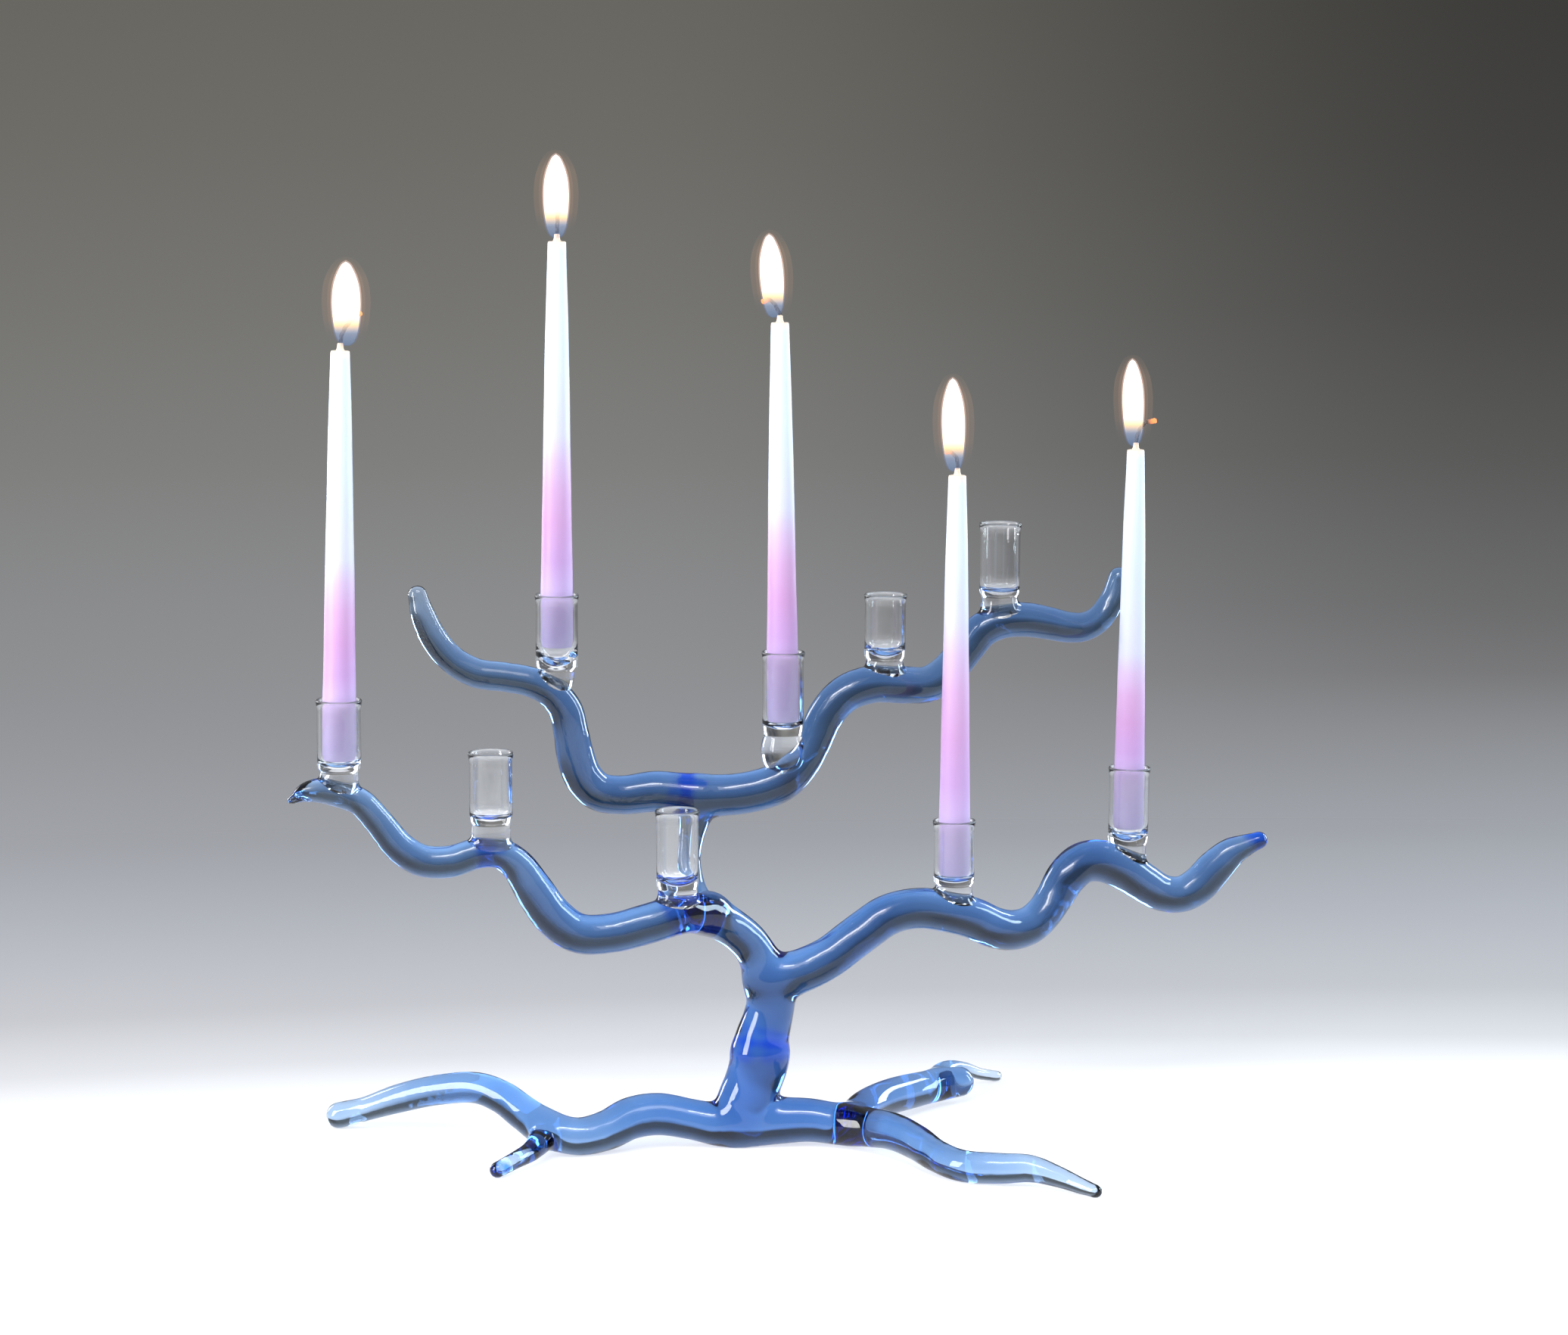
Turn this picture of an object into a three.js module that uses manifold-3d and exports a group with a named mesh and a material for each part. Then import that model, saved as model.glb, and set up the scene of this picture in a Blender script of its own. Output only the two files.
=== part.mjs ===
// A nine-light menorah in lampworked glass, shaped as a leaning tree. Blue glass rods are drawn,
// bent and welded into roots, a short trunk and wavy branches. Nine clear cups stand on the
// branches on solid clear feet, and five of them hold a tapered wax candle with its wick.
// Millimetres, +Z up, +X to the right, +Y to the back. The origin is the small flat under the
// heel of the trunk, where the tree rests on the table.
import * as THREE from 'three';
import { mergeVertices } from 'three/addons/utils/BufferGeometryUtils.js';
import Module from 'manifold-3d';

const wasm = await Module();
wasm.setup();

// ---------------------------------------------------------------- driving dimensions
const GAP = 0.3;              // space left at each weld between two rod pieces
const SIDES = 10;             // flats round a rod
const PITCH = 0.5;            // rings of a rod, counted in bends of its route
const CUP = {
  outer: 7.0,                 // outside radius of the tube
  lip: 7.55,                  // outside radius of the flame-polished lip
  bore: 6.0,                  // inside radius
  floor: 2.0,                 // glass under the middle of the cavity
  seat: 2.2,                  // radius of the small flat at the cavity's bottom
};
const CANDLE = {
  base: 5.4, top: 3.0,        // radii at the foot and at the flat top
  neck: 2.4,                  // height of the little neck of wax round the wick
};
const WICK = 1.3;             // thickness of the braided wick

// ---------------------------------------------------------------- materials
const glassBlue = (color) => new THREE.MeshStandardMaterial({ color, roughness: 0.05, metalness: 0 });
const BLUE = 0x3f74b8, DEEP = 0x2b5fc0, SMOKE = 0x6d8db8, PALE = 0xb9cfe6;
const CLEAR = 0xdfe6ea, WAX = 0xf0c8ee, COTTON = 0x3a3430;

// ---------------------------------------------------------------- solids
function toSolid(geometry) {
  const g = geometry.clone();
  g.deleteAttribute('normal');
  g.deleteAttribute('uv');
  const m = mergeVertices(g, 1e-4);
  return new wasm.Manifold(new wasm.Mesh({
    numProp: 3,
    vertProperties: new Float32Array(m.attributes.position.array),
    triVerts: new Uint32Array(m.index.array),
  }));
}

function toGeometry(solid) {
  const mesh = solid.getMesh();
  const flat = new THREE.BufferGeometry();
  const xyz = new Float32Array(mesh.vertProperties.length / mesh.numProp * 3);
  for (let i = 0; i < xyz.length / 3; i++) {
    for (let k = 0; k < 3; k++) xyz[3 * i + k] = mesh.vertProperties[i * mesh.numProp + k];
  }
  flat.setAttribute('position', new THREE.BufferAttribute(xyz, 3));
  flat.setIndex(Array.from(mesh.triVerts));
  flat.computeVertexNormals();
  return flat;
}

// The whole route of one bent rod: [x, y, z, diameter] at each bend, smoothed between them.
class Route {
  constructor(bends) {
    this.n = bends.length - 1;
    this.curve = new THREE.CatmullRomCurve3(
      bends.map((b) => new THREE.Vector3(b[0], b[1], b[2])), false, 'centripetal');
    this.dia = new THREE.CatmullRomCurve3(
      bends.map((b, i) => new THREE.Vector3(i, b[3], 0)), false, 'catmullrom', 0.5);
    // a frame carried along the route without twisting
    this.rings = 40 * this.n;
    this.normals = [];
    let t0 = this.curve.getTangent(0);
    let nrm = new THREE.Vector3(0, 1, 0).cross(t0).normalize();
    this.normals.push(nrm.clone());
    for (let i = 1; i <= this.rings; i++) {
      const t1 = this.curve.getTangent(i / this.rings);
      const axis = new THREE.Vector3().crossVectors(t0, t1);
      if (axis.length() > 1e-9) nrm.applyAxisAngle(axis.normalize(), t0.angleTo(t1));
      nrm.addScaledVector(t1, -nrm.dot(t1)).normalize();
      this.normals.push(nrm.clone());
      t0 = t1;
    }
  }

  at(k) {
    const u = THREE.MathUtils.clamp(k / this.n, 0, 1);
    const p = this.curve.getPoint(u);
    const t = this.curve.getTangent(u);
    const n = this.normals[Math.round(u * this.rings)].clone();
    n.addScaledVector(t, -n.dot(t)).normalize();
    return { p, t, n, b: new THREE.Vector3().crossVectors(t, n), r: this.dia.getPoint(u).y / 2 };
  }

  length(k0, k1) {
    let sum = 0;
    let last = this.at(k0).p;
    for (let i = 1; i <= 60; i++) {
      const next = this.at(k0 + (k1 - k0) * i / 60).p;
      sum += next.distanceTo(last);
      last = next;
    }
    return sum;
  }

  // The bend number that lies a distance along the route from bend k.
  shift(k, distance) {
    const per = this.length(Math.max(0, k - 0.2), Math.min(this.n, k + 0.2))
      / (Math.min(this.n, k + 0.2) - Math.max(0, k - 0.2));
    return k + distance / per;
  }

  // A closed rod from bend k0 to bend k1. Each end is 'round', 'flat' or 'butt' (flat, half a gap
  // short of the weld). grow makes it fatter and longer, as a cutter for a neighbour.
  // Every rod and cutter of a route has its rings at the same places, so they nest.
  rod(k0, k1, ends = ['butt', 'butt'], grow = 0, sides = SIDES) {
    const a = ends[0] === 'butt' ? this.shift(k0, GAP / 2) : k0;
    const z = ends[1] === 'butt' ? this.shift(k1, -GAP / 2) : k1;
    const stops = [a];
    for (let k = Math.ceil((a + 0.12) / PITCH) * PITCH; k < z - 0.12; k += PITCH) stops.push(k);
    stops.push(z);
    const count = stops.length - 1;
    const rings = [];
    const ring = (f, centre, radius) => {
      const list = [];
      for (let s = 0; s < sides; s++) {
        const w = 2 * Math.PI * s / sides;
        list.push(centre.clone()
          .addScaledVector(f.n, radius * Math.cos(w)).addScaledVector(f.b, radius * Math.sin(w)));
      }
      rings.push(list);
    };
    const start = this.at(a);
    const end = this.at(z);
    const poleA = start.p.clone();
    const poleZ = end.p.clone();
    if (ends[0] === 'round') {
      const r = start.r + grow;
      for (const w of [0.35, 0.75]) {
        ring(start, start.p.clone().addScaledVector(start.t, -r * Math.cos(w * Math.PI / 2)),
          r * Math.sin(w * Math.PI / 2));
      }
      poleA.addScaledVector(start.t, -r);
    } else if (grow) poleA.addScaledVector(start.t, -grow);
    for (let i = 0; i <= count; i++) {
      const f = this.at(stops[i]);
      const c = f.p.clone();
      if (grow && i === 0 && ends[0] !== 'round') c.addScaledVector(f.t, -grow);
      if (grow && i === count && ends[1] !== 'round') c.addScaledVector(f.t, grow);
      ring(f, c, f.r + grow);
    }
    if (ends[1] === 'round') {
      const r = end.r + grow;
      for (const w of [0.75, 0.35]) {
        ring(end, end.p.clone().addScaledVector(end.t, r * Math.cos(w * Math.PI / 2)),
          r * Math.sin(w * Math.PI / 2));
      }
      poleZ.addScaledVector(end.t, r);
    } else if (grow) poleZ.addScaledVector(end.t, grow);
    return skin(rings, poleA, poleZ);
  }
}

// A closed surface over rings of points with a pole at each end.
function skin(rings, poleA, poleZ) {
  const sides = rings[0].length;
  const xyz = [];
  const index = [];
  for (const list of rings) for (const p of list) xyz.push(p.x, p.y, p.z);
  const a = xyz.length / 3;
  xyz.push(poleA.x, poleA.y, poleA.z);
  xyz.push(poleZ.x, poleZ.y, poleZ.z);
  for (let i = 0; i + 1 < rings.length; i++) {
    for (let s = 0; s < sides; s++) {
      const q = (s + 1) % sides;
      const [v0, v1] = [i * sides + s, i * sides + q];
      const [w0, w1] = [v0 + sides, v1 + sides];
      index.push(v0, v1, w1, v0, w1, w0);
    }
  }
  const last = (rings.length - 1) * sides;
  for (let s = 0; s < sides; s++) {
    const q = (s + 1) % sides;
    index.push(a, q, s);
    index.push(a + 1, last + s, last + q);
  }
  const g = new THREE.BufferGeometry();
  g.setAttribute('position', new THREE.BufferAttribute(new Float32Array(xyz), 3));
  g.setIndex(index);
  g.computeVertexNormals();
  return g;
}

// ---------------------------------------------------------------- routes of the rods
// [x, y, z, diameter], from the weld outwards.
const ROOTS = new Route([
  [-143, 21.5, 4.3, 9.0], [-134, 19.5, 7.0, 8.4], [-122, 16, 11.6, 9.9], [-108, 11.5, 15.8, 10.4],
  [-94, 6, 17.9, 10.7], [-85, 1, 15.8, 11.2], [-77.5, -5, 12.0, 11.8], [-70, -10.5, 8.6, 12.2],
  [-59, -13, 6.1, 12.7], [-49.5, -9.5, 7.2, 13.5], [-41, -4.5, 10.2, 14.3], [-32, -2, 10.9, 14.3],
  [-21, -1.5, 9.0, 13.7], [-11, -1.5, 7.0, 14.2], [-1, -0.3, 6.8, 14.8], [9, 0, 8.0, 15.6],
  [19, 0, 8.3, 14.8], [29, -2, 7.4, 13.8], [39, -7.5, 7.8, 13.2], [47, -15, 8.4, 12.6],
  [55, -26, 7.4, 11.6], [61, -36, 5.8, 10.7], [69, -45, 4.9, 10.5], [81, -49.5, 5.3, 10.1],
  [91, -51, 5.6, 9.0], [100, -56, 4.2, 6.9], [106.5, -61, 2.8, 5.4], [111, -65, 2.1, 4.4],
]);
const HEEL = 13.5;            // the trunk stands here on the root bar
const LEFT_WELD = 10.2;
const RIGHT_WELD = 17.0;
const LEFT_TOE = new Route([
  [-70, -9, 8.4, 8.8], [-70.5, -18, 6.6, 8.4], [-73.7, -28, 5.0, 6.8], [-78, -35, 4.1, 5.8],
  [-83.5, -41.5, 2.65, 5.3],
]);
const BACK_ROOT = new Route([
  [34, -1, 8.0, 12], [37, 12, 8.4, 12], [41.5, 23, 8.2, 12.2], [48.5, 34, 7.9, 12.4],
  [56, 43.5, 7.3, 12.2], [64, 51, 7.1, 11.2], [72.5, 56, 7.3, 10.6],
]);
const BACK_TOE = new Route([
  [64, 53, 7.8, 7.2], [66, 63, 8.5, 6.8], [70, 71, 8.3, 6.0], [76, 77.5, 6.4, 5.0],
  [81.5, 82, 3.6, 4.2], [87.5, 85, 1.95, 3.9],
]);
const TRUNK = new Route([
  [-4.5, -1, 9, 17.5], [-2.5, 0, 15, 19.2], [-0.2, 0, 21, 19.2], [1.8, 0, 27, 20],
  [2.6, 0, 32.5, 20.4], [3.4, 0, 37.5, 18.3], [4.9, 0, 43, 16.9], [6.1, 0, 49, 16],
  [5.4, 0, 56, 15], [3.0, -0.7, 63, 13.6], [-1.2, -3, 70.6, 13], [-6.2, -6.8, 76, 12.8],
  [-12, -11.3, 80.6, 12.8], [-15.5, -14.2, 82.6, 12.8],
]);
const WAIST = 3.6;            // weld at the waist
const FORK = 8.0;             // weld between trunk and left arm
const LOWER_LEFT = new Route([
  [-14.5, -14, 83, 13], [-24, -24, 84.5, 13.4], [-34, -29, 82.5, 13.4], [-46, -32, 80, 13.1],
  [-57, -35, 80.6, 13.2], [-65, -38, 87, 13.2], [-71, -41, 96.5, 12.6], [-76, -44, 105, 11],
  [-81.5, -47, 109.5, 10], [-88, -49, 110, 10], [-97, -51, 107.6, 10.4],
  [-106, -53, 108.3, 10.4], [-113, -55.5, 113.3, 10], [-119, -57.5, 121.5, 9.2],
  [-125, -60, 128.8, 8.8], [-131, -61, 131.3, 8.6], [-137, -64.5, 133.2, 8],
  [-141.5, -68, 133, 6], [-145, -70.5, 131.2, 2.8],
]);
const UPPER = new Route([
  [-110.5, -10, 189, 6.4], [-108.8, -10, 182.5, 8.2], [-105.5, -9.5, 175, 9],
  [-100, -9, 168, 9.3], [-92, -8, 163, 9.8], [-82, -6, 161.2, 9.9], [-73.5, -4.5, 159.3, 10.1],
  [-66.8, -2.5, 155.5, 10.6], [-62.5, -1, 149.5, 11.4], [-60.8, 0, 142, 11.8],
  [-59.5, 1.5, 134, 12.6], [-57, 3.5, 126, 13], [-52, 5.5, 120.6, 13.1], [-44, 8, 119, 13.2],
  [-33, 10, 119.8, 14], [-21, 12, 118.4, 14.1], [-8, 14, 118, 14.1], [2, 15, 119.5, 14],
  [10, 16, 122.5, 13.8], [16.5, 18, 128.5, 12.8], [21, 20, 136, 12.2], [25, 22, 144.4, 12.4],
  [31.5, 25, 151, 12.8], [41, 29, 153.8, 13], [52, 34, 152.8, 12.8], [60, 39, 152.3, 12.5],
  [67, 43.5, 156, 12.2], [73.5, 46.5, 163.3, 12.1], [79.5, 48.5, 170, 12.1],
  [86.5, 50.5, 172.8, 12.1], [95, 53.5, 172.9, 12], [103, 57, 171.2, 11.4],
  [110, 60.5, 169.4, 10.8], [116, 63.5, 169.2, 10.2], [121.5, 66.5, 171.8, 9.4],
  [126, 69, 178, 8.6], [128.5, 70.5, 185.5, 7.4],
]);
const COBALT_WELD = 15.1;     // strong blue weld at the middle of the upper branch
const LOWER_RIGHT = new Route([
  [5, 0, 57, 15.2], [12, 0, 58.6, 15], [18.5, 2, 60.5, 14.8], [26, 4, 64, 14.3],
  [33, 7, 68.7, 14.2], [39, 10, 72.6, 14.2], [45, 12.5, 76.2, 14.1], [51, 15, 77.8, 13.9],
  [58, 17.5, 78, 14], [68, 20.5, 76, 14.3], [76, 24, 73, 14.3], [83, 27, 69.3, 14.2],
  [89.5, 31, 67.5, 13.9], [96, 35, 68.5, 13.2], [101, 38, 72.3, 12.7], [105, 41, 77.5, 13],
  [109, 43.5, 83.6, 14], [114.5, 47, 87.8, 14.5], [121, 50, 88.2, 14.7], [129.5, 53, 84.8, 14.4],
  [137, 55.5, 79.5, 13.7], [144, 58, 75.2, 13], [151, 59.5, 74.4, 12.8], [157, 60.5, 77.4, 13],
  [163, 61, 83.8, 12.6], [168.5, 61, 89, 10.6], [173.5, 61, 91.6, 8], [178, 61, 93.4, 6.2],
]);
const STEM = new Route([
  [-15, -8, 82, 9], [-19.8, 2, 87.5, 8.7], [-21.6, 7.4, 96, 8], [-20.8, 9.6, 103.5, 8.2],
  [-19.6, 11.2, 110.5, 10.2], [-19, 12, 117, 12.2],
]);

// ---------------------------------------------------------------- building the tree
const menorah = new THREE.Group();
const solids = {};

function add(name, solidOrGeometry, color, parent = menorah) {
  const isGeometry = solidOrGeometry.isBufferGeometry;
  const geometry = isGeometry ? solidOrGeometry : toGeometry(solidOrGeometry);
  const mesh = new THREE.Mesh(geometry, glassBlue(color));
  mesh.name = name;
  parent.add(mesh);
  return mesh;
}

// A piece of a route with cutters of its neighbours taken off it.
function cut(geometry, ...cutters) {
  let s = toSolid(geometry);
  for (const c of cutters) s = s.subtract(toSolid(c));
  return s;
}

// The table plane: rests are ground to tiny flats at z = 0.
const under = new THREE.BoxGeometry(400, 300, 20);
under.translate(0, 0, -10);

add('base_bar', cut(ROOTS.rod(LEFT_WELD, RIGHT_WELD), under), BLUE);
add('root_left', cut(ROOTS.rod(0, LEFT_WELD, ['round', 'butt']), under), SMOKE);
add('root_right_front', cut(ROOTS.rod(RIGHT_WELD, 27, ['butt', 'round']), under), SMOKE);
add('root_left_toe', cut(LEFT_TOE.rod(0, 4, ['flat', 'round']),
  ROOTS.rod(5, LEFT_WELD, ['flat', 'flat'], GAP), under), SMOKE);
add('root_right_back', cut(BACK_ROOT.rod(0, 6, ['flat', 'round']),
  ROOTS.rod(HEEL, 21, ['flat', 'flat'], GAP), under), BLUE);
add('root_right_back_toe', cut(BACK_TOE.rod(0, 5, ['flat', 'round']),
  BACK_ROOT.rod(2, 6, ['flat', 'round'], GAP), under), PALE);

add('trunk_lower', cut(TRUNK.rod(0, WAIST, ['flat', 'butt']),
  ROOTS.rod(LEFT_WELD, RIGHT_WELD, ['flat', 'flat'], GAP)), BLUE);
add('trunk_upper', cut(TRUNK.rod(WAIST, FORK, ['butt', 'butt'])), DEEP);
add('arm_left', cut(TRUNK.rod(FORK, 13, ['butt', 'round'])), BLUE);
add('lower_left_inner', cut(LOWER_LEFT.rod(0, 8.6, ['flat', 'butt']),
  TRUNK.rod(FORK, 13, ['flat', 'round'], GAP)), BLUE);
add('lower_left_outer', cut(LOWER_LEFT.rod(8.6, 14.4)), BLUE);
add('lower_left_tip', cut(LOWER_LEFT.rod(14.4, 18, ['butt', 'round'])), SMOKE);
add('lower_right_inner', cut(LOWER_RIGHT.rod(0, 9),
  TRUNK.rod(WAIST, 13, ['flat', 'round'], GAP)), BLUE);
add('lower_right_middle', cut(LOWER_RIGHT.rod(9, 19)), BLUE);
add('lower_right_tip', cut(LOWER_RIGHT.rod(19, 27, ['butt', 'round'])), BLUE);
add('upper_left_tip', cut(UPPER.rod(0, 7, ['round', 'butt'])), SMOKE);
add('upper_left_inner', cut(UPPER.rod(7, COBALT_WELD)), BLUE);
add('upper_right_inner', cut(UPPER.rod(COBALT_WELD, 23)), DEEP);
add('upper_right_middle', cut(UPPER.rod(23, 29)), BLUE);
add('upper_right_tip', cut(UPPER.rod(29, 36, ['butt', 'round'])), SMOKE);
add('stem_back', cut(STEM.rod(0, 5, ['flat', 'flat']),
  UPPER.rod(12, 18, ['flat', 'flat'], GAP),
  TRUNK.rod(FORK, 13, ['flat', 'round'], GAP),
  LOWER_LEFT.rod(0, 4, ['flat', 'flat'], GAP)), SMOKE);

// ---------------------------------------------------------------- cups, feet and candles
// foot: point on the rod's middle under the cup; up: height of the cup's underside above it;
// tube: length of the tube; cone: height of the tapered bottom of the cavity;
// lean: tilt in degrees towards +X and towards +Y; plug: foot radius; ball: bulged foot.
// candle: tilt in degrees of the candle; sit: height of its foot above the cavity's bottom.
const HOLDERS = [
  { n: 1, foot: [-131.2, -61.2, 131.3], up: 6.8, tube: 23.9, cone: 3.4, lean: [0.5, 0],
    plug: 5.9, under: [LOWER_LEFT, 12, 18], candle: [1.1, 0], sit: 2.3, length: 130.2 },
  { n: 2, foot: [-84, -48, 110.1], up: 8.8, tube: 24.0, cone: 2.6, lean: [0.2, 0],
    plug: 6.2, under: [LOWER_LEFT, 6, 12] },
  { n: 3, foot: [-24.5, -24.2, 84.5], up: 8.2, tube: 27.0, cone: 4.6, lean: [-0.2, 0],
    plug: 6.4, under: [LOWER_LEFT, 0, 4], also: [TRUNK, 8, 13] },
  { n: 4, foot: [-65.2, -2.7, 156.0], up: 6.6, tube: 26.0, cone: 8.4, lean: [0.4, 0],
    plug: 5.7, under: [UPPER, 4, 11], candle: [0.5, 0], sit: 6.4, length: 134.2 },
  { n: 5, foot: [10.1, 16, 122.4], up: 16.2, tube: 28.3, cone: 3.4, lean: [0.3, 0],
    plug: 6.5, ball: 7.4, under: [UPPER, 15, 22], candle: [-0.4, 0], sit: 2.4, length: 134.8 },
  { n: 6, foot: [45, 31, 153.4], up: 8.0, tube: 23.3, cone: 5.0, lean: [0.6, 0],
    plug: 6.2, under: [UPPER, 20, 27] },
  { n: 7, foot: [85.3, 50.1, 172.4], up: 8.6, tube: 26.2, cone: 2.4, lean: [0.3, 0],
    plug: 6.2, under: [UPPER, 26, 33] },
  { n: 8, foot: [68.9, 20.8, 75.9], up: 9.0, tube: 23.2, cone: 3.0, lean: [-0.2, 0],
    plug: 6.1, under: [LOWER_RIGHT, 6, 13], candle: [0.1, 0], sit: 2.3, length: 137.0 },
  { n: 9, foot: [131.2, 53.6, 83.8], up: 9.2, tube: 28.0, cone: 6.0, lean: [0.6, 0],
    plug: 6.3, under: [LOWER_RIGHT, 16, 23], candle: [0.4, 0], sit: 4.4, length: 132.8 },
];

// A shape turned about Z from [radius, height] pairs that start and end on the axis.
function turned(profile, segments) {
  const g = new THREE.LatheGeometry(profile.map(([r, z]) => new THREE.Vector2(r, z)), segments);
  g.rotateX(Math.PI / 2);
  const m = g.clone();
  m.deleteAttribute('normal');
  m.deleteAttribute('uv');
  const closed = mergeVertices(m, 1e-4);
  // leave out the slivers that close on the axis
  const ix = closed.index.array;
  const keep = [];
  for (let i = 0; i < ix.length; i += 3) {
    if (ix[i] !== ix[i + 1] && ix[i + 1] !== ix[i + 2] && ix[i] !== ix[i + 2]) {
      keep.push(ix[i], ix[i + 1], ix[i + 2]);
    }
  }
  closed.setIndex(keep);
  closed.computeVertexNormals();
  return closed;
}

function cupGeometry(h) {
  const L = h.tube;
  const f = CUP.floor;
  return turned([
    [0, 0], [5.4, 0], [6.6, 1.0], [CUP.outer, 3.2], [CUP.outer, L - 3.2], [CUP.lip, L - 0.9],
    [CUP.lip - 0.1, L - 0.2], [CUP.lip - 0.8, L], [CUP.bore + 0.35, L - 0.5], [CUP.bore, L - 2.4],
    [CUP.bore, f + h.cone], [CUP.bore - 0.9, f + h.cone * 0.62], [CUP.seat, f], [0, f],
  ], 14);
}

function footGeometry(h) {
  const top = h.up - GAP;
  const low = 1.0;
  if (h.ball) {
    const mid = h.up - 7.2;
    return turned([
      [0, low], [h.plug - 0.6, low], [h.plug - 0.3, mid - 6.2], [h.ball - 0.5, mid - 3.4],
      [h.ball, mid], [h.ball - 0.5, mid + 3.4], [h.plug, top - 0.6], [h.plug - 0.7, top], [0, top],
    ], 14);
  }
  return turned([
    [0, low], [h.plug + 0.3, low], [h.plug, h.up - 3], [h.plug, top - 0.6],
    [h.plug - 0.7, top], [0, top],
  ], 14);
}

function candleGeometry(h) {
  const L = h.length;
  const { base, top, neck } = CANDLE;
  return turned([
    [0, 0], [base - 0.7, 0], [base, 1.0], [base - 0.1, L * 0.15], [base - 0.7, L * 0.42],
    [base - 1.35, L * 0.72], [top + 0.2, L * 0.955], [top, L - 0.4], [top - 0.4, L],
    [1.35, L], [1.0, L + neck * 0.5], [0.8, L + neck], [0, L + neck],
  ], 12);
}

// Each wick curls its own way: [x, z] of its bends above the neck of wax.
const CURLS = {
  1: [[0, 0], [0.6, 2.8], [2.7, 6.2], [6.6, 9.6]],
  4: [[0, 0], [0.1, 2.6], [0.2, 5.2], [0.2, 7.4]],
  5: [[0, 0], [-1.2, 2.6], [-3.2, 4.8], [-6.2, 4.4]],
  8: [[0, 0], [-0.2, 2.8], [-1.8, 4.9], [-4.4, 5.4]],
  9: [[0, 0], [0.9, 3.6], [3.2, 6.8], [7.0, 7.4]],
};

const tilt = ([ax, ay]) => new THREE.Euler(
  THREE.MathUtils.degToRad(-ay), THREE.MathUtils.degToRad(ax), 0);

for (const h of HOLDERS) {
  const holder = new THREE.Group();
  holder.position.set(...h.foot);
  holder.rotation.copy(tilt(h.lean));
  menorah.add(holder);
  holder.updateMatrixWorld(true);
  const toLocal = holder.matrixWorld.clone().invert();

  const cutters = [h.under, h.also].filter(Boolean).map(([route, k0, k1]) => {
    const g = route.rod(k0, k1, ['flat', 'flat'], GAP);
    g.applyMatrix4(toLocal);
    return g;
  });
  add(`cup_${h.n}_foot`, cut(footGeometry(h), ...cutters), CLEAR, holder);
  const tube = cupGeometry(h);
  tube.translate(0, 0, h.up);
  add(`cup_${h.n}`, cut(tube, ...cutters), CLEAR, holder);

  if (h.candle) {
    const seat = new THREE.Group();
    seat.position.set(0, 0, h.up + CUP.floor + h.sit).applyMatrix4(holder.matrixWorld);
    seat.rotation.copy(tilt(h.candle));
    menorah.add(seat);
    add(`candle_${h.n}`, candleGeometry(h), WAX, seat);
    const z0 = h.length + CANDLE.neck + GAP;
    const wick = new Route(CURLS[h.n].map(([x, z], i) => [x, 0, z0 + z, WICK + (i > 2 ? 0.4 : 0)]));
    add(`wick_${h.n}`, wick.rod(0, 3, ['flat', 'round'], 0, 8), COTTON, seat);
  }
}

export default menorah;
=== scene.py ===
# Looks for a nine-light menorah in lampworked glass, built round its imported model.
# Blue glass rods are fused into one leaning tree, clear cups stand on it on clear feet,
# and five cups hold a lit, tapered wax candle. Lengths in the tables are in millimetres.
import bpy, bmesh, math
import numpy as np
from mathutils import Matrix, Vector


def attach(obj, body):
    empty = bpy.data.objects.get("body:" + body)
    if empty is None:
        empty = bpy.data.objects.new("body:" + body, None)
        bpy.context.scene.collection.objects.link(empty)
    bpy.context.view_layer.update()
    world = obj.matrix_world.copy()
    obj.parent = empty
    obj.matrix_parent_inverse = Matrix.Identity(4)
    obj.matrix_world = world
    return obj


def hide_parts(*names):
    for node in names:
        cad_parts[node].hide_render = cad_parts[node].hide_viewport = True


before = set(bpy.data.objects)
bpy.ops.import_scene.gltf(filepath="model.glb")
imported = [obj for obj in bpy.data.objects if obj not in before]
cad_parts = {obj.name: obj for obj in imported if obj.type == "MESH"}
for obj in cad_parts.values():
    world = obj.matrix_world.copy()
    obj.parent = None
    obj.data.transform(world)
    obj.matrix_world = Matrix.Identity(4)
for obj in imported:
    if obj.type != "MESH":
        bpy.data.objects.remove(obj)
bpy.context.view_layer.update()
scene = bpy.context.scene
MM = 0.001

# ------------------------------------------------------------------ camera
camera = bpy.data.objects.new("camera", bpy.data.cameras.new("camera"))
scene.collection.objects.link(camera)
camera.data.lens = 85
camera.data.sensor_width = 36
camera.data.clip_end = 50
camera.location = (0.0106, -1.225, 0.3358)
camera.rotation_euler = (math.radians(90 - 8), 0, 0)
scene.camera = camera
scene.view_settings.view_transform = "Standard"

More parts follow.
